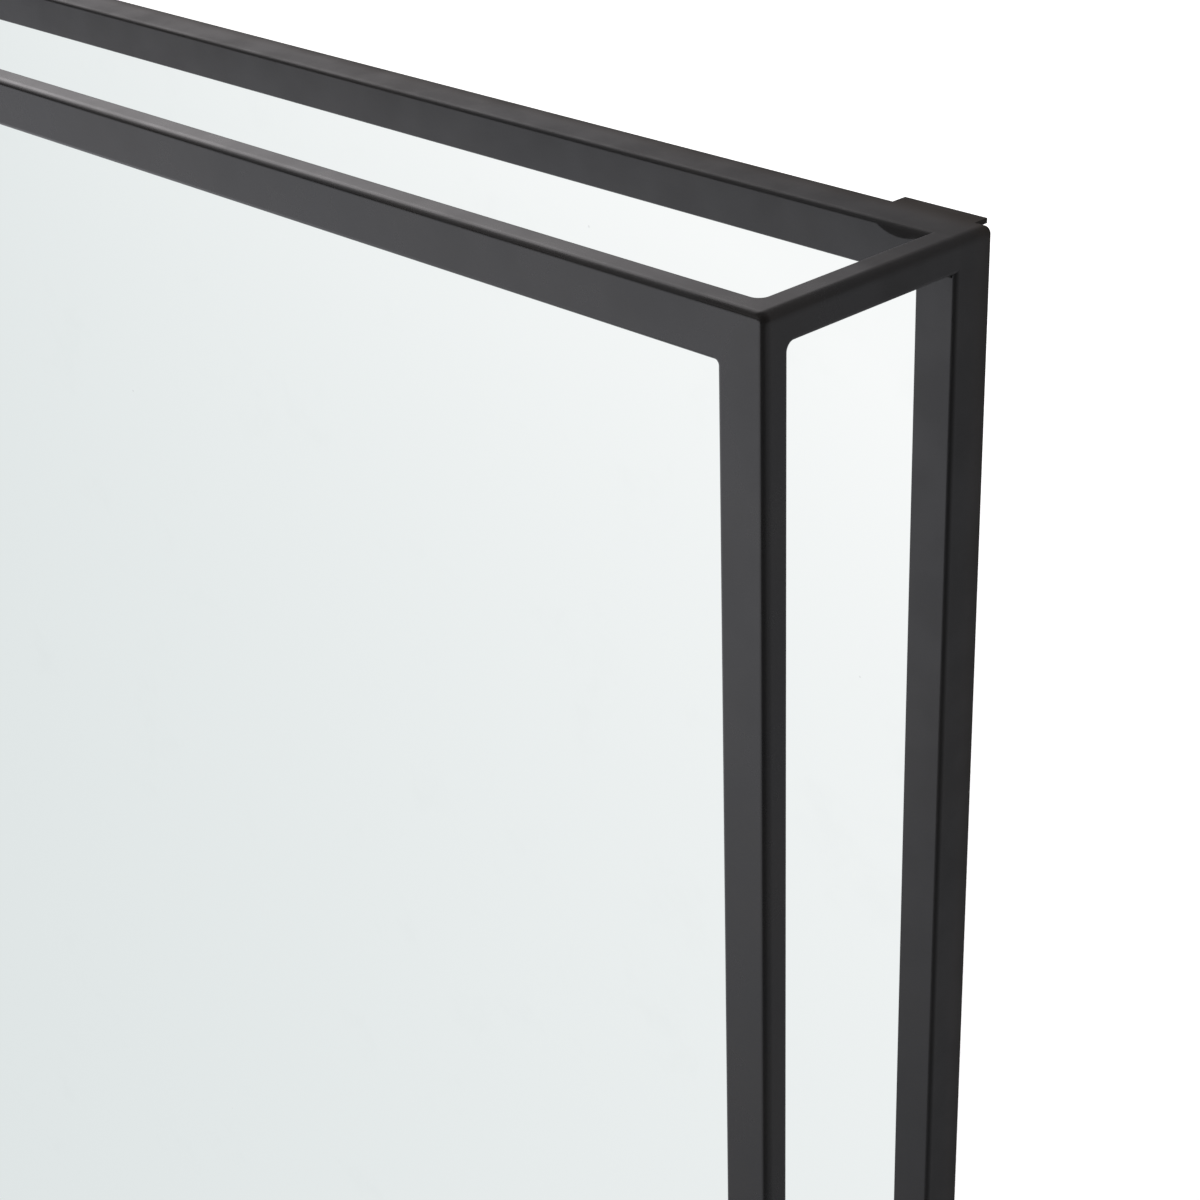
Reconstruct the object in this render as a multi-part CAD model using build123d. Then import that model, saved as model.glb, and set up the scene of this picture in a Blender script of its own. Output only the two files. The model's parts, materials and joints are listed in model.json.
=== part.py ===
from build123d import *
import math
import os

# Open steel box frame with a mirror set in its back frame, hung on a wall by keyhole brackets.
# X runs to the right seen from the front, Y towards the wall and Z up, in millimetres.
# The wall is the plane Y = 0, and Z = 0 is the height of the upper keyholes.

# Box frame
frame_width = 813.0
frame_height = 1016.0
frame_depth = 92.0
corner_radius = 2.0
edge_radius = 1.5

# Front frame of rectangular tube
front_bar_face = 16.0
front_bar_depth = 10.0
front_bar_inner_bevel = 0.8
tube_wall = 1.2

# Spacers of square tube, one at each corner
spacer_size = 10.0
spacer_inner_bevel = 0.8

# Back frame of bent angle, with its rebate open to the wall
back_bar_face = 14.0
back_bar_depth = 14.5
angle_thickness = 2.0
angle_bend_radius = 0.8
angle_lip_bevel = 0.4

# Welds in the inner corners. At the front they are ground hollow and flush with the outer faces.
front_weld_radius = 1.2
spacer_front_weld_radius = 2.5
spacer_back_weld_leg = 1.2

# Mirror stack in the rebate, from the front leg of the angle backwards
tape_thickness = 1.0
tape_width = 4.0
tape_edge_gap = 0.5
mirror_thickness = 4.0
mirror_arris = 0.4
mirror_edge_gap = 7.0
board_thickness = 3.0

# Rubber setting blocks under the mirror
block_length = 40.0
block_beside_clip = 20.0

# Swivel clips on weld studs, a pair on each side of the back frame
clip_spacing_across = 400.0
clip_spacing_up = 520.0
clip_thickness = 1.5
clip_reach = 18.0
clip_tip_length = 5.0
clip_tip_rise = 1.6
clip_side_clearance = 0.3
clip_tip_chamfer = 1.2
stud_radius = 1.5
stud_past_nut = 0.2
nut_across_flats = 5.5
nut_height = 2.4
running_clearance = 0.05

# Bent hanger brackets with keyholes, welded to the back edge of the back frame
hanger_standoff = 6.5
hanger_thickness = 1.5
hanger_bend_radius = 2.0
hanger_width = 29.0
hanger_leg_width = 21.0
hanger_inset = 5.5
hanger_drop = 32.0
hanger_corner_cut = 3.0
keyhole_drop = 22.0
keyhole_radius = 4.5
keyhole_slot_radius = 2.25
keyhole_slot_length = 9.0

# Edges and faces are picked by their place, to within this distance
match_tolerance = 0.05
# The spaces that the pieces are cut out with reach past the frame's faces by this much
cut_margin = 5.0

# Planes along Y that several pieces share
frame_back = -hanger_standoff
frame_front = frame_back - frame_depth
front_bar_back = frame_front + front_bar_depth
back_bar_front = frame_back - back_bar_depth
rebate_front = back_bar_front + angle_thickness
mirror_front = rebate_front + tape_thickness
board_front = mirror_front + mirror_thickness
board_back = board_front + board_thickness
clip_front = board_back + running_clearance
nut_front = clip_front + clip_thickness + running_clearance

# The pieces are modelled about the middle of the frame, then raised so that the keyholes are at Z = 0
raise_to_origin = Pos(0, 0, keyhole_drop - frame_height / 2)

# Each side of the frame is modelled as the top side and turned about Y to its place
side_turn = {"top": 0, "right": 90, "bottom": 180, "left": 270}
# The two ends of each side, in the order that its turn gives them
side_ends = {
    "top": ("left", "right"),
    "right": ("upper", "lower"),
    "bottom": ("right", "left"),
    "left": ("lower", "upper"),
}
corners = {"top_left": (-1, 1), "top_right": (1, 1), "bottom_left": (-1, -1), "bottom_right": (1, -1)}


def side_length(side):
    return frame_width if side in ("top", "bottom") else frame_height


def side_reach(side):
    return (frame_height if side in ("top", "bottom") else frame_width) / 2


def clip_spacing(side):
    return clip_spacing_across if side in ("top", "bottom") else clip_spacing_up


def on_side(shape, side):
    return Rot(0, side_turn[side], 0) * shape


def block(x_range, y_range, z_range):
    """Box between two limits along each axis."""
    size = [high - low for low, high in (x_range, y_range, z_range)]
    middle = [(high + low) / 2 for low, high in (x_range, y_range, z_range)]
    return Pos(*middle) * Box(*size)


def corner_block(corner, near, far, y_range):
    """Square block in one corner of the frame, between two distances in from its outer faces."""
    side_x, side_z = corners[corner]
    x_range = sorted((side_x * (frame_width / 2 - near), side_x * (frame_width / 2 - far)))
    z_range = sorted((side_z * (frame_height / 2 - near), side_z * (frame_height / 2 - far)))
    return block(x_range, y_range, z_range)


def window(margin, y_range):
    """Block of the frame's outline, smaller by a margin all round."""
    half_x = frame_width / 2 - margin
    half_z = frame_height / 2 - margin
    return block((-half_x, half_x), y_range, (-half_z, half_z))


def side_opening(axis):
    """Space between the spacers of two opposite sides, through both, with the hollows of the front welds."""
    half_x = frame_width / 2 - (0 if axis == Axis.X else spacer_size)
    half_z = frame_height / 2 - (0 if axis == Axis.Z else spacer_size)
    opening = block((-half_x, half_x), (front_bar_back, back_bar_front), (-half_z, half_z))
    return fillet(opening.edges().filter_by(axis).group_by(Axis.Y)[0], spacer_front_weld_radius)


def sharp_frame():
    """The box frame in one piece, with all its openings but no rolled edges."""
    front_opening = window(front_bar_face, (frame_front, front_bar_back))
    rebate = window(angle_thickness, (rebate_front, frame_back))
    frame = window(0, (frame_front, frame_back))
    frame -= fillet(front_opening.edges().filter_by(Axis.Y), front_weld_radius)
    frame -= side_opening(Axis.X)
    frame -= side_opening(Axis.Z)
    frame -= window(back_bar_face, (back_bar_front, rebate_front))
    return frame - fillet(rebate.faces().sort_by(Axis.Y)[0].edges(), angle_bend_radius)


def opening_edges(frame, y):
    """Edges round the opening in the flat face of the frame at one depth."""
    upright = frame.faces().filter_by(Plane.XZ)
    level = upright.filter_by_position(Axis.Y, y - match_tolerance, y + match_tolerance)
    return level[0].inner_wires()[0].edges()


def rolled_frame():
    """The box frame in one piece. Each rolled edge runs on round the hollows of the welds."""
    frame = sharp_frame()
    frame = fillet(frame.edges().filter_by(Axis.Y).sort_by(SortBy.LENGTH)[-4:], corner_radius)
    rolled = frame.faces().sort_by(Axis.Y)[0].edges()
    for axis in (Axis.X, Axis.Z):
        for outer_face in (frame.faces().sort_by(axis)[0], frame.faces().sort_by(axis)[-1]):
            rolled += outer_face.inner_wires()[0].edges()
    frame = fillet(rolled, edge_radius)
    frame = chamfer(opening_edges(frame, front_bar_back), front_bar_inner_bevel)
    return chamfer(opening_edges(frame, back_bar_front), angle_lip_bevel)


def mitred_space(side, face, y_range):
    """Space of one bar, cut at 45 degrees at both ends."""
    near, far = y_range
    half = side_length(side) / 2
    reach = side_reach(side)
    outer = [(-half - cut_margin, reach + cut_margin), (half + cut_margin, reach + cut_margin)]
    inner = [(half - face, reach - face), (face - half, reach - face)]
    outline = make_face(Polyline(*outer, *inner, close=True))
    return on_side(extrude(Plane((0, far, 0), (1, 0, 0), (0, -1, 0)) * outline, far - near), side)


def front_bar(side):
    """Mitred tube of the front frame, open inside from mitre to mitre."""
    half = side_length(side) / 2
    reach = side_reach(side)
    bore_y = (frame_front + tube_wall, front_bar_back - tube_wall)
    bore_z = (reach - front_bar_face + tube_wall, reach - tube_wall)
    bar = box_frame & mitred_space(side, front_bar_face, (frame_front, front_bar_back))
    return bar - on_side(block((-half, half), bore_y, bore_z), side)


def back_bar(side):
    """Mitred angle of the back frame. Its front leg covers the edge of the mirror."""
    return box_frame & mitred_space(side, back_bar_face, (back_bar_front, frame_back))


def spacer_bar(corner):
    """Solid square bar between the front and back frames, with its inner edge taken off too."""
    bar = box_frame & corner_block(corner, -cut_margin, spacer_size, (front_bar_back, back_bar_front))
    long_edges = bar.edges().filter_by(Axis.Y)
    inner_edge = long_edges.sort_by(lambda edge: abs(edge.center().X) + abs(edge.center().Z))[0]
    return chamfer(inner_edge, spacer_inner_bevel)


def spacer(corner):
    """Square tube between the front and back frames, flush with their outer faces."""
    bore = corner_block(corner, tube_wall, spacer_size - tube_wall, (front_bar_back, back_bar_front))
    return spacer_bar(corner) - bore


def spacer_front_welds():
    """Hollow welds round the inner faces of the four spacers, at the front frame."""
    welds = box_frame & window(-cut_margin, (front_bar_back, front_bar_back + spacer_front_weld_radius))
    for corner in corners:
        welds -= spacer_bar(corner)
    return welds.solids()


def spacer_back_welds(corner):
    """Flat fillet welds on the two inner faces of a spacer, at the back frame."""
    side_x, side_z = corners[corner]
    leg = spacer_back_weld_leg
    section = make_face(Polyline((0, 0), (-leg, 0), (0, leg), close=True))
    length = spacer_size - 2 * edge_radius
    inner_x = side_x * (frame_width / 2 - spacer_size)
    inner_z = side_z * (frame_height / 2 - spacer_size)
    middle_x = side_x * (frame_width - spacer_size) / 2
    middle_z = side_z * (frame_height - spacer_size) / 2
    under = Plane((middle_x, back_bar_front, inner_z), (0, 1, 0), (-side_z, 0, 0))
    inside = Plane((inner_x, back_bar_front, middle_z), (0, 1, 0), (0, 0, side_x))
    return [extrude(across * section, length / 2, both=True) for across in (under, inside)]


def front_corner_welds():
    """Welds in the corners of the front frame's opening."""
    welds = box_frame & window(front_bar_face, (frame_front, front_bar_back))
    return welds.solids()


def pane(y_range):
    """Flat sheet of the size that the rebate holds."""
    half_x = frame_width / 2 - angle_thickness - mirror_edge_gap
    half_z = frame_height / 2 - angle_thickness - mirror_edge_gap
    return block((-half_x, half_x), y_range, (-half_z, half_z))


def glazing_tape(side):
    """Soft strip between the angle's front leg and the mirror. The upright strips end at the other two."""
    outer = angle_thickness + mirror_edge_gap + tape_edge_gap
    end = outer if side in ("top", "bottom") else outer + tape_width
    half = side_length(side) / 2 - end
    top = side_reach(side) - outer
    return block((-half, half), (rebate_front, mirror_front), (top - tape_width, top))


def setting_block(sign):
    """Rubber block between the bottom angle and the lower edges of the mirror and board."""
    bottom = angle_thickness - frame_height / 2
    near = clip_spacing_across / 2 + block_beside_clip
    far = near + block_length
    z_range = (bottom, bottom + mirror_edge_gap)
    return block(sorted((sign * near, sign * far)), (mirror_front, board_back), z_range)


def clip_pivots(side):
    """Places of a side's two swivel clips, midway between the angle's outer leg and the mirror's edge."""
    z = side_reach(side) - angle_thickness - mirror_edge_gap / 2
    return [Pos(sign * clip_spacing(side) / 2, 0, z) for sign in (-1, 1)]


def round_bar(radius, y_range):
    """Cylinder about the Y axis between two depths."""
    near, far = y_range
    return extrude(Plane((0, near, 0), (1, 0, 0), (0, 1, 0)) * Circle(radius), far - near)


def clip_stud():
    """Plain stud welded to the back of the angle's front leg."""
    return round_bar(stud_radius, (rebate_front, nut_front + nut_height + stud_past_nut))


def hexagon_bar(across_flats, y_range):
    """Hexagon about the Y axis between two depths, with two flats level with the angle's outer leg."""
    near, far = y_range
    section = RegularPolygon(across_flats / math.sqrt(3), 6)
    return extrude(Plane((0, near, 0), (1, 0, 0), (0, 1, 0)) * section, far - near)


def clip_sleeve():
    """Hexagon tube that carries the clip level with the board. It stands clear of the angle's bend."""
    y_range = (rebate_front, board_back)
    outer = hexagon_bar(mirror_edge_gap - 2 * angle_bend_radius, y_range)
    return outer - hexagon_bar(2 * (stud_radius + running_clearance), y_range)


def clip_nut():
    y_range = (nut_front, nut_front + nut_height)
    return hexagon_bar(nut_across_flats, y_range) - round_bar(stud_radius + running_clearance, y_range)


def swivel_clip():
    """Flat clip that turns about Y on its stud, pointing down over the board, with a lifted finger tip."""
    half = mirror_edge_gap / 2 - clip_side_clearance
    bend = clip_tip_length - clip_reach
    front_line = [(clip_front, half), (clip_front, bend), (clip_front + clip_tip_rise, -clip_reach)]
    back_line = [(y + clip_thickness, z) for y, z in reversed(front_line)]
    strip = extrude(Plane.YZ * make_face(Polyline(*front_line, *back_line, close=True)), half, both=True)
    tip = [(half, clip_tip_chamfer - clip_reach), (half - clip_tip_chamfer, -clip_reach)]
    tip += [(-x, z) for x, z in reversed(tip)]
    round_end = CenterArc((0, 0), half, 0, 180)
    outline = make_face([round_end, Polyline(round_end @ 0, *tip, round_end @ 1)])
    deep = clip_tip_rise + 2 * clip_thickness
    strip &= extrude(Plane((0, clip_front + deep, 0), (1, 0, 0), (0, -1, 0)) * outline, 2 * deep)
    return strip - round_bar(stud_radius + running_clearance, (clip_front, clip_front + clip_thickness))


def hanger_bracket():
    """Bracket whose top continues the top of the frame and whose narrower keyhole leg lies on the wall."""
    bend_y = -hanger_bend_radius
    inner_bend = hanger_bend_radius - hanger_thickness
    outer_arc = CenterArc((bend_y, bend_y), hanger_bend_radius, 0, 90)
    inner_arc = CenterArc((bend_y, bend_y), inner_bend, 0, 90)
    weld_end = [(frame_back, 0), (frame_back, -hanger_thickness)]
    foot = [(-hanger_thickness, -hanger_drop), (0, -hanger_drop)]
    side_view = [outer_arc, inner_arc]
    side_view.append(Polyline(outer_arc @ 1, *weld_end, inner_arc @ 1))
    side_view.append(Polyline(inner_arc @ 0, *foot, outer_arc @ 0))
    strip = extrude(Plane.YZ * make_face(side_view), hanger_leg_width / 2, both=True)
    foot_corners = strip.edges().filter_by(Axis.Y).group_by(Axis.Z)[0]
    strip = chamfer(foot_corners, hanger_corner_cut)
    half = hanger_width / 2
    strip += block((-half, half), (frame_back, bend_y / 2), (-hanger_thickness, 0))
    slot_end = keyhole_slot_length - keyhole_drop
    keyhole = Pos(0, -keyhole_drop) * Circle(keyhole_radius)
    slot_middle = Pos(0, (slot_end - keyhole_drop) / 2)
    keyhole += slot_middle * SlotCenterToCenter(keyhole_slot_length, 2 * keyhole_slot_radius, rotation=90)
    return strip - extrude(Plane.XZ * keyhole, hanger_thickness)


def hanger_places(side):
    """Places of the two brackets at the top or bottom of the frame."""
    x = frame_width / 2 - hanger_inset - hanger_width / 2
    return [Pos(sign * x, 0, side_reach(side)) for sign in (-1, 1)]


box_frame = rolled_frame()

nodes = {}

for side in side_turn:
    word = "rail" if side in ("top", "bottom") else "stile"
    nodes[f"front_{side}_{word}"] = [front_bar(side)]
    nodes[f"back_{side}_{word}"] = [back_bar(side)]
    nodes[f"{side}_glazing_tape"] = [on_side(glazing_tape(side), side)]

nodes["front_corner_welds"] = front_corner_welds()
nodes["spacer_front_welds"] = spacer_front_welds()
nodes["spacer_back_welds"] = []
for corner in corners:
    nodes[f"{corner}_spacer"] = [spacer(corner)]
    nodes["spacer_back_welds"] += spacer_back_welds(corner)

mirror = pane((mirror_front, board_front))
nodes["mirror_pane"] = [chamfer(mirror.edges(), mirror_arris)]
nodes["backing_board"] = [pane((board_front, board_back))]
nodes["left_setting_block"] = [setting_block(-1)]
nodes["right_setting_block"] = [setting_block(1)]

nodes["clip_studs"] = []
nodes["clip_sleeves"] = []
nodes["clip_nuts"] = []
for side, ends in side_ends.items():
    for end, pivot in zip(ends, clip_pivots(side)):
        nodes[f"{side}_{end}_clip"] = [on_side(pivot * swivel_clip(), side)]
        nodes["clip_studs"].append(on_side(pivot * clip_stud(), side))
        nodes["clip_sleeves"].append(on_side(pivot * clip_sleeve(), side))
        nodes["clip_nuts"].append(on_side(pivot * clip_nut(), side))

for side in ("top", "bottom"):
    for end, place in zip(side_ends[side], hanger_places(side)):
        nodes[f"{side}_{end}_hanger"] = [on_side(place * hanger_bracket(), side)]

os.makedirs("parts", exist_ok=True)
for name, solids in nodes.items():
    placed = [raise_to_origin * solid for solid in solids]
    export_step(placed[0] if len(placed) == 1 else Compound(children=placed), f"parts/{name}.step")
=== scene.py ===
import json
import math

import bmesh
import bpy
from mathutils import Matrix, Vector


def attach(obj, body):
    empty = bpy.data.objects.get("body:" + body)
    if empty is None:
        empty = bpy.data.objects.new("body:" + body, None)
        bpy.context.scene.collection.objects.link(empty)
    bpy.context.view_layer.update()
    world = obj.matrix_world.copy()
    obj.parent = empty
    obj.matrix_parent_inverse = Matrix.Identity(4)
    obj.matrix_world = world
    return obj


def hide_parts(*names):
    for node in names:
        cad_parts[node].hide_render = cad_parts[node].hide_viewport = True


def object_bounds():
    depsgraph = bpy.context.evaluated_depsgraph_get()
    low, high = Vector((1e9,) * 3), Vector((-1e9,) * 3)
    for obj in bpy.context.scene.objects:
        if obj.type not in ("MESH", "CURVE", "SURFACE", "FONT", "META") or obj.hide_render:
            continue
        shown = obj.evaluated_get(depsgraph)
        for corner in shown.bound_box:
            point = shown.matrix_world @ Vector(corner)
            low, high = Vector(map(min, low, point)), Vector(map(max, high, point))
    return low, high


# A mirror in an open box frame of satin black steel, dressed over its solids. Metres throughout.
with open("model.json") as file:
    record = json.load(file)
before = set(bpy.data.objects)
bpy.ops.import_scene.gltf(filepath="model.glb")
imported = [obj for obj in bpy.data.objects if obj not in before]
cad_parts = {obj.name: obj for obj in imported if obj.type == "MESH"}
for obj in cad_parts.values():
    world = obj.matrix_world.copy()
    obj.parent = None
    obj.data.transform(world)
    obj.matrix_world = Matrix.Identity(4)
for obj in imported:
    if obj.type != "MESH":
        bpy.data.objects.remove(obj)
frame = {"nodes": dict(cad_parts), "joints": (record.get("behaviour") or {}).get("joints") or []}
cad_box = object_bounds()

# Camera at the photograph's viewing angle
camera_lens = 79.2
camera_sensor = 36.0
camera_place = (0.8260, -0.5589, 0.2539)
camera_turn = (63.524, 1.733, 45.429)

# The limits of a ramp below are a start and an end, and then the results at them where they aren't 0 and 1.
white = (1.0, 1.0, 1.0, 1.0)
noise_span = (0.3, 0.7)

# Room that gloss sees: a faintly warm panel on the left, which fades to the front, to its foot and upwards
warm_white = (1.0, 0.965, 0.985, 1.0)
panel_middle = (-0.906, -0.423, 0.0)
panel_sides = (0.18, 0.60, 0.0, 2.65)
panel_front = (-0.35, 0.2, 0.10, 1.0)
panel_foot = (0.20, 0.40, 0.12, 1.0)
panel_top = (0.45, 0.75, 1.0, 0.0)
room_back = (0.3, 0.7, 0.06, 0.22)

# Floor, filled up to white away from the object
floor_size = 40.0
floor_colour = (0.80, 0.80, 0.80, 1.0)
floor_fill = (0.8, 3.2, 0.36, 1.0)

# In the mirror the floor glows with painted light, brighter and less green towards the front right
bright_side = (0.453, -0.891, 0.0)
bright_span = (-0.3, 1.15)
mirror_painted_light_levels = (0.79, 1.0)
green_white = (0.950, 1.0, 1.005, 1.0)

# In gloss the floor glows faintly cool, with a painted shadow round the foot of the right stile and painted
# shade far left and on the right
cool_white = (0.985, 0.988, 1.045, 1.0)
stile_foot = (0.40, -0.09, 0.0)
foot_shadow_painted = (0.30, 2.20, 0.30, 1.04)
far_left_shade_painted = (-3.6, -1.2, 0.78, 1.0)
right_shade_painted = (-1.2, 1.6, 0.08, 0.30)
left_to_right = (0.2, 0.9)

# Square soft boxes, with their power in watts
overhead = {"place": (0.0, 0.2, 1.9), "size": 2.2, "power": 46.0}
overhead_target = (0.0, 0.0, -0.9)
front_fill = {"place": (-1.6, -2.6, 0.6), "size": 1.6, "power": 38.0}
back_fill = {"place": (1.2, 2.6, 0.6), "size": 1.6, "power": 25.0}

# Hollows ground into the front edge of the back rails, beside the spacers
hollow_end = 0.3955
hollow_length = 0.0175
hollow_height = 0.0024
hollow_front = -0.021
hollow_fade = 0.0010
hollow_tilt = 0.8
hollow_tips = (0.0, 0.08)
hollow_above = (-0.0012, 0.0)
hollow_skin = (-0.001, -0.0005)
hollow_skin_end = 0.0005
edge_roll = 0.0015

# Narrow faces of the tubes crown towards the outer edges, over a width beside the rolled edge
crown_width = 0.0022
crown_tilt = 0.35
narrow_to_front = (0.2, 0.9)

# Depths at which the paint turns drier, and what that adds to its roughness. Front faces get less of it.
dry_steps = ((-0.058, -0.048, 0.16), (-0.021, -0.018, 0.04), (-0.012, -0.003, 0.18))
wet_front = (-0.9, -0.2, 0.5, 1.0)
thin_depths = (-0.016, -0.005)

# Studs and nuts that hold the clips. Their depths are from the clip's place on the board.
stud_radius = 0.0015
stud_root = -0.008
stud_tip = 0.0042
tip_bevel = 0.0003
thread_pitch = 0.0005
thread_depth = 0.00027
thread_length = 0.0012
rings_per_pitch = 6
nut_across_flats = 0.0055
nut_seat = 0.0016
nut_height = 0.0024
nut_bore_radius = 0.00155
nut_bore_ease = 0.0002
nut_turned_radius = 0.00265
nut_turned_slope = math.sqrt(3)
nut_turned_depths = (0.0, 0.0001, 0.0002, 0.0003)
next_clip_turn = 25
ring_steps = 48
ring_angles = [math.radians(360 / ring_steps * step) for step in range(ring_steps)]


def node_tree(owner):
    """Empty node tree of a material or world."""
    owner.use_nodes = True
    owner.node_tree.nodes.clear()
    return owner.node_tree


def fill(tree, made, inputs):
    """Sets or joins the inputs of a node."""
    for name, value in inputs.items():
        if isinstance(value, bpy.types.NodeSocket):
            tree.links.new(value, made.inputs[name])
        else:
            made.inputs[name].default_value = value


def add(tree, kind, inputs=None, **options):
    """Adds one shader node, sets its options and fills its inputs."""
    made = tree.nodes.new("ShaderNode" + kind)
    for name, value in options.items():
        setattr(made, name, value)
    fill(tree, made, inputs or {})
    return made


def math_of(tree, operation, first, second=0.0):
    return add(tree, "Math", {0: first, 1: second}, operation=operation).outputs[0]


def vector_math(tree, operation, first, second, output="Vector"):
    return add(tree, "VectorMath", {0: first, 1: second}, operation=operation).outputs[output]


def split(tree, vector):
    """Outputs X, Y and Z of a vector."""
    return add(tree, "SeparateXYZ", {0: vector}).outputs


def ramp(tree, value, start, end, low=0.0, high=1.0, kind="SMOOTHSTEP"):
    """Step of a value from low at start to high at end, smooth unless it is linear."""
    limits = {"From Min": start, "From Max": end, "To Min": low, "To Max": high}
    step = add(tree, "MapRange", {"Value": value, **limits}, interpolation_type=kind)
    return step.outputs["Result"]


def mix_colour(tree, share, first, second):
    made = add(tree, "Mix", data_type="RGBA")
    fill(tree, made, {0: share, 6: first, 7: second})
    return made.outputs[2]


def ray(tree, kind):
    """1 for one kind of ray and 0 for the others."""
    return add(tree, "LightPath").outputs[f"Is {kind} Ray"]


def object_place(tree):
    return add(tree, "TexCoord").outputs["Object"]


def make_camera():
    data = bpy.data.cameras.new("camera")
    data.lens = camera_lens
    data.sensor_width = camera_sensor
    camera = bpy.data.objects.new("camera", data)
    camera.location = camera_place
    camera.rotation_euler = [math.radians(angle) for angle in camera_turn]
    bpy.context.scene.collection.objects.link(camera)
    bpy.context.scene.camera = camera


def make_world():
    """Pale panel low on the left of a dim room, for gloss. The camera and the mirror see plain white."""
    world = bpy.data.worlds.new("studio")
    bpy.context.scene.world = world
    tree = node_tree(world)
    direction = add(tree, "TexCoord").outputs["Generated"]
    towards_panel = vector_math(tree, "DOT_PRODUCT", direction, panel_middle, "Value")
    axes = split(tree, direction)
    panel = ramp(tree, towards_panel, *panel_sides, "LINEAR")
    for axis, limits in (("Y", panel_front), ("Z", panel_foot), ("Z", panel_top)):
        panel = math_of(tree, "MULTIPLY", panel, ramp(tree, axes[axis], *limits))
    level = math_of(tree, "ADD", panel, ramp(tree, axes["Y"], *room_back))
    room = add(tree, "Background", {"Color": warm_white, "Strength": level})
    backdrop = add(tree, "Background", {"Color": white, "Strength": 1.0})
    plain = math_of(tree, "MAXIMUM", ray(tree, "Camera"), ray(tree, "Singular"))
    mixed = add(tree, "MixShader", {0: plain, 1: room.outputs[0], 2: backdrop.outputs[0]})
    add(tree, "OutputWorld", {"Surface": mixed.outputs[0]})


def floor_seen(tree, place):
    """Tint and level of the floor's glow in a reflection, painted light and shade: pale in the mirror, and
    in gloss a painted shade on the right and a painted shadow round the stile's foot.
    """
    axes = split(tree, place)
    across = vector_math(tree, "DOT_PRODUCT", place, bright_side, "Value")
    # Painted light on the floor's glow, rising towards the front right
    bright = ramp(tree, across, *bright_span, kind="LINEAR")
    pale = ramp(tree, bright, 0.0, 1.0, *mirror_painted_light_levels, "LINEAR")
    # Painted shadow round the foot of the right stile, and painted shade far left and on the right
    from_foot = vector_math(tree, "DISTANCE", place, stile_foot, "Value")
    left = ramp(tree, from_foot, *foot_shadow_painted)
    left = math_of(tree, "MULTIPLY", left, ramp(tree, axes["X"], *far_left_shade_painted))
    right = ramp(tree, axes["Y"], *right_shade_painted)
    gloss = ramp(tree, axes["X"], *left_to_right, left, right)
    in_mirror = ray(tree, "Singular")
    tint = mix_colour(tree, in_mirror, cool_white, mix_colour(tree, bright, green_white, white))
    return tint, ramp(tree, in_mirror, 0.0, 1.0, gloss, pale, "LINEAR")


def floor_finish():
    """White floor that takes the shadow."""
    material = bpy.data.materials.new("studio_floor")
    tree = node_tree(material)
    place = object_place(tree)
    away = add(tree, "VectorMath", {0: place}, operation="LENGTH").outputs["Value"]
    glow = add(tree, "Emission", {"Color": white, "Strength": ramp(tree, away, *floor_fill)})
    paint = add(tree, "BsdfDiffuse", {"Color": floor_colour})
    lit = add(tree, "AddShader", {0: paint.outputs[0], 1: glow.outputs[0]})
    # In reflections the floor shows this glow of painted light and shade instead of its lit colour
    tint, level = floor_seen(tree, place)
    seen = add(tree, "Emission", {"Color": tint, "Strength": level})
    reflected = math_of(tree, "MAXIMUM", ray(tree, "Glossy"), ray(tree, "Transmission"))
    mixed = add(tree, "MixShader", {0: reflected, 1: lit.outputs[0], 2: seen.outputs[0]})
    add(tree, "OutputMaterial", {"Surface": mixed.outputs[0]})
    return material


def make_floor():
    mesh = bpy.data.meshes.new("studio_floor")
    shape = bmesh.new()
    bmesh.ops.create_grid(shape, x_segments=1, y_segments=1, size=floor_size / 2)
    shape.to_mesh(mesh)
    shape.free()
    mesh.materials.append(floor_finish())
    floor = bpy.data.objects.new("studio_floor", mesh)
    floor.location.z = cad_box[0].z
    bpy.context.scene.collection.objects.link(floor)


def soft_lamp(name, target, place, size, power):
    """Square soft box at a place, turned to a target and left out of gloss."""
    data = bpy.data.lights.new(name, "AREA")
    data.size = size
    data.energy = power
    lamp = bpy.data.objects.new(name, data)
    lamp.location = place
    lamp.rotation_euler = (Vector(target) - Vector(place)).to_track_quat("-Z", "Y").to_euler()
    lamp.visible_glossy = False
    bpy.context.scene.collection.objects.link(lamp)


def make_lamps():
    middle = (cad_box[0] + cad_box[1]) / 2
    soft_lamp("overhead", overhead_target, **overhead)
    soft_lamp("front_fill", middle, **front_fill)
    soft_lamp("back_fill", middle, **back_fill)


def principled(tree, **inputs):
    shader = add(tree, "BsdfPrincipled", {name.replace("_", " "): value for name, value in inputs.items()})
    add(tree, "OutputMaterial", {"Surface": shader.outputs[0]})


def noise(tree, place, size, detail=2.0, roughness=0.5):
    """Noise whose features are about the given size in metres."""
    scale = {"Scale": 1.0 / size, "Detail": detail, "Roughness": roughness}
    return add(tree, "TexNoise", {"Vector": place, **scale}).outputs["Fac"]


def bump(tree, height, distance, strength, under=None):
    """Bumped normal for a height from 0 to 1, over another normal if there is one."""
    inputs = {"Strength": strength, "Distance": distance, "Height": height}
    if under is not None:
        inputs["Normal"] = under
    return add(tree, "Bump", inputs).outputs[0]


def edge_distance(tree, axes, axis):
    """Place along X or Z from the middle of the frame, and the distance inside the frame's edge."""
    low = getattr(cad_box[0], axis.lower())
    high = getattr(cad_box[1], axis.lower())
    from_middle = math_of(tree, "SUBTRACT", axes[axis], (low + high) / 2)
    inside = math_of(tree, "SUBTRACT", (high - low) / 2, math_of(tree, "ABSOLUTE", from_middle))
    return from_middle, inside


def bent_normal(tree, normal, pushes):
    """Normal pushed along X, Y and Z."""
    push = add(tree, "CombineXYZ", dict(enumerate(pushes))).outputs[0]
    bent = vector_math(tree, "ADD", normal, push)
    return add(tree, "VectorMath", {0: bent}, operation="NORMALIZE").outputs[0]


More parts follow.
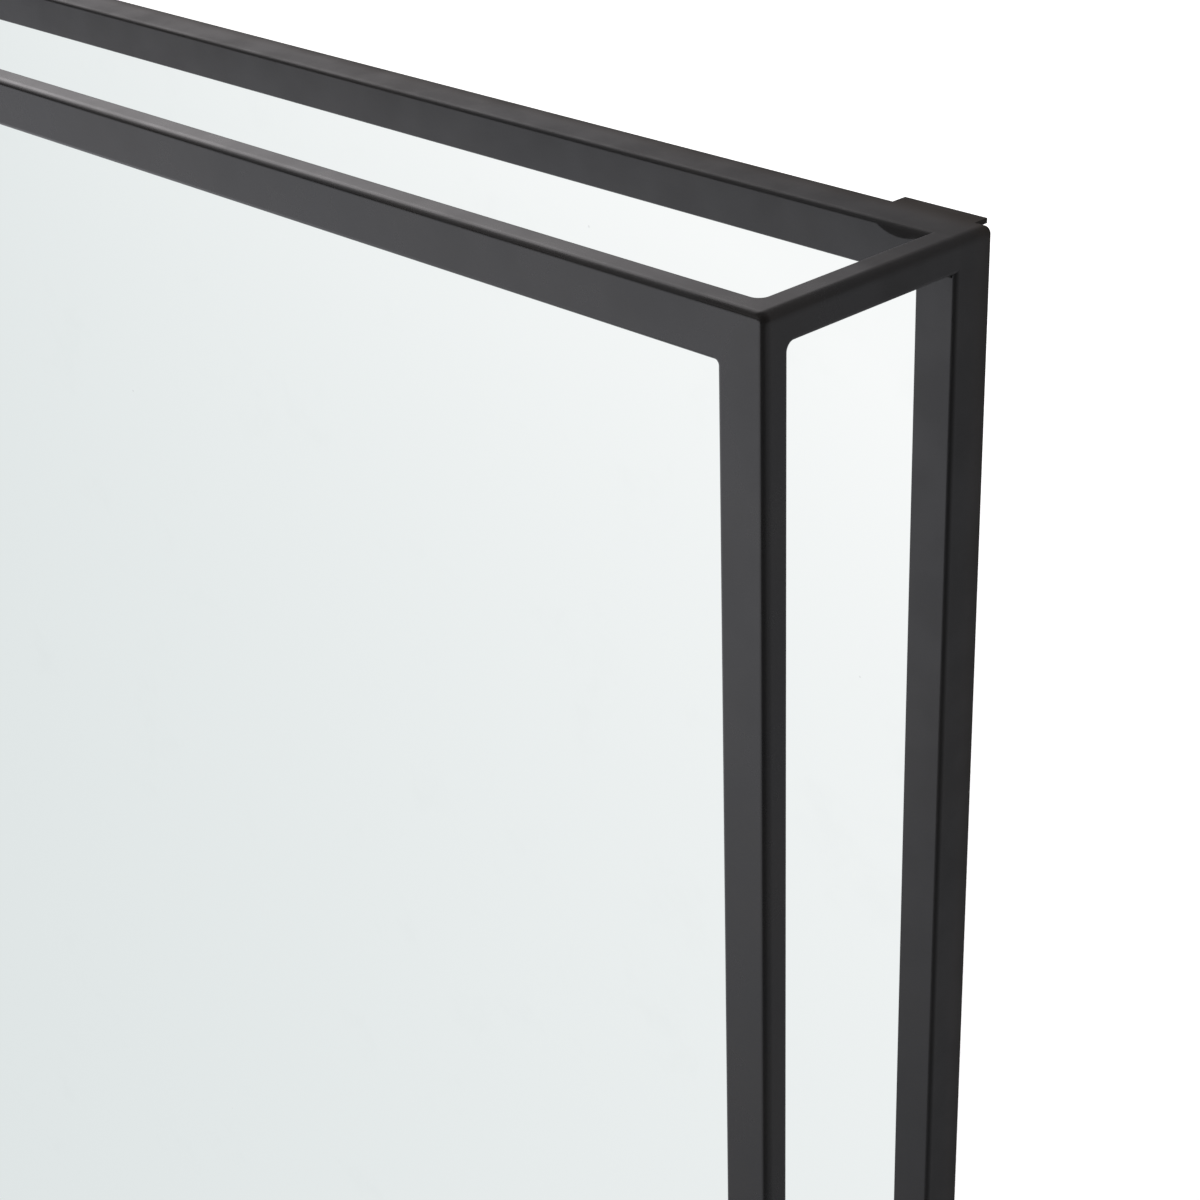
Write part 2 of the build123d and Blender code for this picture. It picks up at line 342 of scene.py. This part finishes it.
def crowned_faces(tree, place):
    """Normal of the paint, bent outwards on narrow faces close to the outer edges."""
    axes = split(tree, place)
    normal = add(tree, "NewGeometry").outputs["Normal"]
    facing_front = math_of(tree, "ABSOLUTE", split(tree, normal)["Y"])
    tilt = ramp(tree, facing_front, *narrow_to_front, crown_tilt, 0.0)
    far = edge_roll + crown_width
    from_front = math_of(tree, "SUBTRACT", axes["Y"], cad_box[0].y)
    pushes = {"Y": ramp(tree, from_front, edge_roll, far, -1.0, 0.0)}
    for axis in "XZ":
        from_middle, inside = edge_distance(tree, axes, axis)
        near = ramp(tree, inside, edge_roll, far, 1.0, 0.0)
        pushes[axis] = math_of(tree, "MULTIPLY", near, math_of(tree, "SIGN", from_middle))
    return bent_normal(tree, normal, [math_of(tree, "MULTIPLY", tilt, pushes[axis]) for axis in "XYZ"])


def ground_hollows(tree, place, normal):
    """Normal of the paint, tilted up or down in the hollows beside the spacers."""
    axes = split(tree, place)
    from_middle, to_edge = edge_distance(tree, axes, "Z")
    to_edge = math_of(tree, "SUBTRACT", to_edge, edge_roll)
    aside = math_of(tree, "ABSOLUTE", axes["X"])
    along = ramp(tree, aside, hollow_end - hollow_length, hollow_end, kind="LINEAR")
    lens = math_of(tree, "MULTIPLY", along, math_of(tree, "SUBTRACT", 1.0, along))
    reach = math_of(tree, "MULTIPLY", lens, 4.0 * hollow_height)
    inside = ramp(tree, math_of(tree, "SUBTRACT", reach, to_edge), 0.0, hollow_fade, 0.0, hollow_tilt)
    from_front = math_of(tree, "SUBTRACT", axes["Y"], hollow_front)
    limits = [ramp(tree, lens, *hollow_tips), ramp(tree, to_edge, *hollow_above)]
    limits.append(ramp(tree, from_front, *hollow_skin))
    limits.append(ramp(tree, from_front, hollow_skin_end, edge_roll, 1.0, 0.0))
    for limit in limits:
        inside = math_of(tree, "MULTIPLY", inside, limit)
    tilt = math_of(tree, "MULTIPLY", inside, math_of(tree, "SIGN", from_middle))
    return bent_normal(tree, normal, (0.0, 0.0, tilt))


def black_paint():
    """Satin black paint on steel: faint orange peel, warmer patches, drier and thinner towards the back."""
    plain_black = (0.0062, 0.0061, 0.0065, 1.0)
    warm_black = (0.0084, 0.0075, 0.0070, 1.0)
    thin_brown = (0.0108, 0.0076, 0.0052, 1.0)
    patch_span = (0.35, 0.65)
    satin = (0.26, 0.33)
    material = bpy.data.materials.new("satin_black_paint")
    tree = node_tree(material)
    place = object_place(tree)
    patches = ramp(tree, noise(tree, place, size=0.05, detail=3.0), *patch_span)
    colour = mix_colour(tree, patches, plain_black, warm_black)
    depth = split(tree, place)["Y"]
    colour = mix_colour(tree, ramp(tree, depth, *thin_depths), colour, thin_brown)
    dry_spray = 0.0
    for start, end, drier in dry_steps:
        dry_spray = math_of(tree, "ADD", dry_spray, ramp(tree, depth, start, end, 0.0, drier))
    facing = split(tree, add(tree, "NewGeometry").outputs["Normal"])["Y"]
    dry_spray = math_of(tree, "MULTIPLY", dry_spray, ramp(tree, facing, *wet_front))
    clouds = ramp(tree, noise(tree, place, size=0.018, detail=4.0), *noise_span, *satin)
    roughness = math_of(tree, "ADD", clouds, dry_spray)
    rolled = ground_hollows(tree, place, crowned_faces(tree, place))
    swell = noise(tree, place, size=0.03, detail=1.0)
    waves = bump(tree, swell, distance=0.0004, strength=0.08, under=rolled)
    peel = bump(tree, noise(tree, place, size=0.0014), distance=0.00003, strength=0.25, under=waves)
    principled(tree, Base_Color=colour, Roughness=roughness, Normal=peel, IOR=1.6)
    return material


def mirror_glass():
    """Silvered glass with ground green edges, a few faint smears and specks of dust."""
    clean_silver = (0.932, 0.950, 0.947, 1.0)
    smeared_silver = (0.916, 0.934, 0.931, 1.0)
    dusty_silver = (0.815, 0.83, 0.828, 1.0)
    dark_green = (0.10, 0.22, 0.18, 1.0)
    pale_green = (0.16, 0.30, 0.25, 1.0)
    smear_span = (0.55, 0.8)
    dust_per_metre = 22.0
    speck_edge = (0.006, 0.014)
    flat_facing = 0.9
    material = bpy.data.materials.new("silvered_glass")
    tree = node_tree(material)
    place = object_place(tree)
    smears = ramp(tree, noise(tree, place, size=0.035, detail=4.0, roughness=0.6), *smear_span)
    silver_tone = mix_colour(tree, smears, clean_silver, smeared_silver)
    dust = add(tree, "TexVoronoi", {"Vector": place, "Scale": dust_per_metre}).outputs["Distance"]
    specks = ramp(tree, dust, *speck_edge, 1.0, 0.0)
    silver_tone = mix_colour(tree, specks, silver_tone, dusty_silver)
    silver = add(tree, "BsdfPrincipled", {"Base Color": silver_tone, "Metallic": 1.0, "Roughness": 0.0})
    grit = bump(tree, noise(tree, place, size=0.0006, detail=3.0), distance=0.00004, strength=0.4)
    green = mix_colour(tree, ramp(tree, noise(tree, place, size=0.02), *noise_span), dark_green, pale_green)
    ground = add(tree, "BsdfPrincipled", {"Base Color": green, "Roughness": 0.45, "Normal": grit})
    normal = split(tree, add(tree, "NewGeometry").outputs["True Normal"])
    flat = math_of(tree, "GREATER_THAN", math_of(tree, "ABSOLUTE", normal["Y"]), flat_facing)
    mixed = add(tree, "MixShader", {0: flat, 1: ground.outputs[0], 2: silver.outputs[0]})
    add(tree, "OutputMaterial", {"Surface": mixed.outputs[0]})
    return material


def hardboard():
    """Brown pressed board, with fibres and the print of the screen that it was pressed on."""
    dark_brown = (0.166, 0.096, 0.051, 1.0)
    light_brown = (0.186, 0.109, 0.059, 1.0)
    pale_fleck = (0.250, 0.160, 0.095, 1.0)
    green_of_red = 0.55
    blue_of_red = 0.29
    # Stretch, size and red of the fibres that lie upright and across
    fibre_kinds = (((1.0, 1.0, 0.3), 0.0012, 0.085), ((0.35, 1.0, 1.0), 0.0024, 0.110))
    fibre_span = (0.56, 0.74)
    fleck_span = (0.60, 0.74)
    fibre_roughness = (0.55, 0.75)
    wires = {"Scale": 420.0, "Distortion": 0.25, "Detail": 1.0, "Detail Scale": 2.0}
    material = bpy.data.materials.new("pressed_hardboard")
    tree = node_tree(material)
    place = object_place(tree)
    clouds = ramp(tree, noise(tree, place, size=0.12, detail=5.0, roughness=0.6), *noise_span)
    colour = mix_colour(tree, clouds, dark_brown, light_brown)
    for stretch, size, red in fibre_kinds:
        fibre_place = add(tree, "Mapping", {"Vector": place, "Scale": stretch}).outputs[0]
        fibres = noise(tree, fibre_place, size, detail=5.0, roughness=0.65)
        fibre_tone = (red, green_of_red * red, blue_of_red * red, 1.0)
        colour = mix_colour(tree, ramp(tree, fibres, *fibre_span), colour, fibre_tone)
    flecks = ramp(tree, noise(tree, place, size=0.0035, detail=3.0, roughness=0.7), *fleck_span)
    colour = mix_colour(tree, flecks, colour, pale_fleck)
    across = add(tree, "TexWave", {"Vector": place, **wires}, bands_direction="X").outputs["Fac"]
    upright = add(tree, "TexWave", {"Vector": place, **wires}, bands_direction="Z").outputs["Fac"]
    screen = bump(tree, math_of(tree, "MULTIPLY", across, upright), distance=0.0002, strength=0.6)
    roughness = ramp(tree, fibres, *noise_span, *fibre_roughness)
    normal = bump(tree, fibres, distance=0.0001, strength=0.4, under=screen)
    principled(tree, Base_Color=colour, Roughness=roughness, Normal=normal)
    return material


def black_foam():
    """Closed-cell foam tape."""
    dark_foam = (0.020, 0.020, 0.021, 1.0)
    light_foam = (0.032, 0.031, 0.030, 1.0)
    cells_per_metre = 2500.0
    cell_roughness = (0.0, 0.6, 0.95, 0.8)
    material = bpy.data.materials.new("black_foam")
    tree = node_tree(material)
    place = object_place(tree)
    cells = add(tree, "TexVoronoi", {"Vector": place, "Scale": cells_per_metre}).outputs["Distance"]
    tone = ramp(tree, noise(tree, place, size=0.01), *noise_span)
    colour = mix_colour(tree, tone, dark_foam, light_foam)
    roughness = ramp(tree, cells, *cell_roughness)
    normal = bump(tree, cells, distance=0.0001, strength=0.7)
    principled(tree, Base_Color=colour, Roughness=roughness, Normal=normal)
    return material


def black_rubber():
    """Matt cut rubber with a little dust."""
    clean_rubber = (0.016, 0.016, 0.017, 1.0)
    dusty_rubber = (0.034, 0.033, 0.031, 1.0)
    dust_span = (0.45, 0.75)
    grain_roughness = (0.65, 0.85)
    material = bpy.data.materials.new("black_rubber")
    tree = node_tree(material)
    place = object_place(tree)
    grain = noise(tree, place, size=0.0008, detail=4.0)
    dust = ramp(tree, noise(tree, place, size=0.006, detail=3.0), *dust_span)
    colour = mix_colour(tree, dust, clean_rubber, dusty_rubber)
    roughness = ramp(tree, grain, *noise_span, *grain_roughness)
    normal = bump(tree, grain, distance=0.00006, strength=0.5)
    principled(tree, Base_Color=colour, Roughness=roughness, Normal=normal)
    return material


def zinc_plate():
    """Bright zinc plate on steel, with a fine grain and a faint yellow cast in places."""
    blue_zinc = (0.60, 0.62, 0.64, 1.0)
    yellow_zinc = (0.63, 0.62, 0.57, 1.0)
    cast_span = (0.4, 0.7)
    plate_roughness = (0.30, 0.41)
    material = bpy.data.materials.new("bright_zinc_plate")
    tree = node_tree(material)
    place = object_place(tree)
    cast = ramp(tree, noise(tree, place, size=0.004, detail=3.0), *cast_span)
    colour = mix_colour(tree, cast, blue_zinc, yellow_zinc)
    grain = noise(tree, place, size=0.0004, detail=4.0, roughness=0.6)
    roughness = ramp(tree, noise(tree, place, size=0.0025, detail=4.0), *noise_span, *plate_roughness)
    normal = bump(tree, grain, distance=0.00002, strength=0.5)
    principled(tree, Base_Color=colour, Roughness=roughness, Metallic=1.0, Normal=normal)
    return material


def natural_nylon():
    """Milky nylon with faint flow marks."""
    dull_nylon = (0.74, 0.71, 0.63, 1.0)
    milky_nylon = (0.82, 0.80, 0.73, 1.0)
    flow_roughness = (0.38, 0.52)
    material = bpy.data.materials.new("natural_nylon")
    tree = node_tree(material)
    place = object_place(tree)
    flow = noise(tree, place, size=0.003, detail=3.0)
    colour = mix_colour(tree, ramp(tree, flow, *noise_span), dull_nylon, milky_nylon)
    roughness = ramp(tree, flow, *noise_span, *flow_roughness)
    normal = bump(tree, noise(tree, place, size=0.0005), distance=0.00003, strength=0.3)
    principled(tree, Base_Color=colour, Roughness=roughness, Subsurface_Weight=0.2,
               Subsurface_Scale=0.001, Normal=normal)
    return material


def dress_frame():
    finishes = {
        "black_steel": black_paint(),
        "mirror": mirror_glass(),
        "hardboard": hardboard(),
        "foam_tape": black_foam(),
        "rubber": black_rubber(),
        "zinc_plate": zinc_plate(),
        "nylon": natural_nylon(),
    }
    for node in frame["nodes"].values():
        for slot in node.material_slots:
            slot.material = finishes[slot.material.name]
    make_hardware("turned_nuts", "clip_nuts", nut_rings, True, finishes["zinc_plate"])
    make_hardware("threaded_studs", "clip_studs", stud_rings, False, finishes["zinc_plate"])


def ring(radii, depth):
    """Points round the Y axis at one depth."""
    return [Vector((r * math.cos(a), depth, r * math.sin(a))) for r, a in zip(radii, ring_angles)]


def nut_rings(turn):
    """Rings round a hexagon nut with turned corners and an eased bore, from face to face and back."""
    sixth = math.radians(60)
    flats = [nut_across_flats / 2 / math.cos((a + turn) % sixth - sixth / 2) for a in ring_angles]
    rings = []
    for depth in nut_turned_depths + tuple(nut_height - d for d in reversed(nut_turned_depths)):
        turned = nut_turned_radius + nut_turned_slope * min(depth, nut_height - depth)
        rings.append(ring([min(flat, turned) for flat in flats], nut_seat + depth))
    back_ease = ((nut_bore_ease, nut_height), (0.0, nut_height - nut_bore_ease))
    front_ease = ((0.0, nut_bore_ease), (nut_bore_ease, 0.0))
    for ease, depth in back_ease + front_ease:
        rings.append(ring([nut_bore_radius + ease] * ring_steps, nut_seat + depth))
    return rings


def stud_rings(turn):
    """Rings up a stud that ends in a bevelled thread."""
    rings = [ring([stud_radius] * ring_steps, stud_root)]
    steps = round(rings_per_pitch * thread_length / thread_pitch)
    for step in range(steps + 1):
        left = thread_length * (1 - step / steps)
        limit = stud_radius - tip_bevel + left
        turns = [(left / thread_pitch + (a + turn) / math.tau) % 1.0 for a in ring_angles]
        thread = [stud_radius - thread_depth * (1 - abs(2 * part - 1)) for part in turns]
        rings.append(ring([min(radius, limit) for radius in thread], stud_tip - left))
    return rings


def skin(shape, rings, place, round_again):
    """Skins rings in turn at a place. The skin closes on its first ring again, or with a cap at each end."""
    made = [[shape.verts.new(Vector(place) + point) for point in points] for points in rings]
    following = made[1:] + made[:1] if round_again else made[1:]
    for first, second in zip(made, following):
        for step in range(len(first)):
            shape.faces.new((first[step - 1], first[step], second[step], second[step - 1]))
    if not round_again:
        shape.faces.new(made[0])
        shape.faces.new(made[-1])


def make_hardware(name, node, rings_at, round_again, finish):
    """One piece of small hardware for every clip, in place of a plain node."""
    shape = bmesh.new()
    for index, joint in enumerate(frame["joints"]):
        skin(shape, rings_at(math.radians(next_clip_turn * index)), joint["pos_m"], round_again)
    bmesh.ops.recalc_face_normals(shape, faces=shape.faces)
    mesh = bpy.data.meshes.new(name)
    shape.to_mesh(mesh)
    shape.free()
    mesh.materials.append(finish)
    piece = bpy.data.objects.new(name, mesh)
    bpy.context.scene.collection.objects.link(piece)
    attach(piece, "frame")
    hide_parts(node)


bpy.context.scene.view_settings.view_transform = "Standard"
make_camera()
make_world()
make_floor()
make_lamps()
dress_frame()
